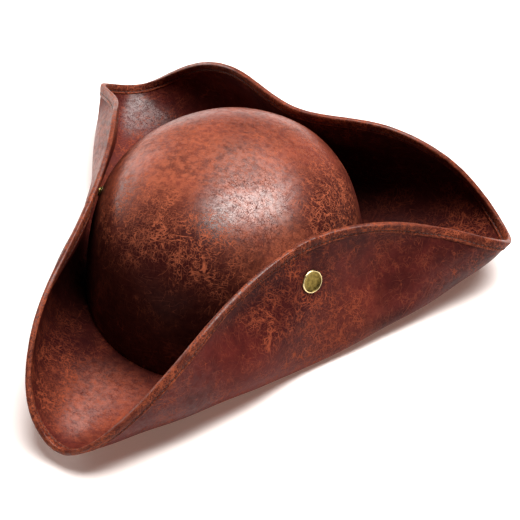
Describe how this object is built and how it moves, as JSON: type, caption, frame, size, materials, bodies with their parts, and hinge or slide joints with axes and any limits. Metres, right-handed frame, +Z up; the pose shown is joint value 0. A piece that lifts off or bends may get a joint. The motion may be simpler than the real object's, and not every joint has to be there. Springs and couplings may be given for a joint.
{
  "type": "tricorn hat",
  "caption": "Leather tricorn hat: hollow domed crown and one brim turned up on three sides, bound at its edge and pinned to the crown by brass snaps.",
  "frame": {"origin": "bottom centre of the hat's box, on the surface that the hat rests on", "axes": "+Z up through the crown, -Y towards the front point of the brim, +X towards the hat's right side as seen from its front; the hat is symmetric about the YZ plane"},
  "size_m": [0.3224, 0.3182, 0.1129],
  "materials": {
    "crown_leather": "crackled wax-rubbed brown leather, semi-gloss",
    "brim_leather": "crackled wax-rubbed brown leather, semi-gloss",
    "binding_leather": "thin folded leather strip with rubbed edges and a stitched groove",
    "snap_brass": "antiqued brass"
  },
  "bodies": {
    "root": {"crown": "crown_leather", "brim": "brim_leather", "edge_binding": "binding_leather", "snap_cap_right": "snap_brass", "snap_cap_left": "snap_brass", "snap_cap_back": "snap_brass", "snap_stud_right": "snap_brass", "snap_stud_left": "snap_brass", "snap_stud_back": "snap_brass"}
  },
  "joints": []
}
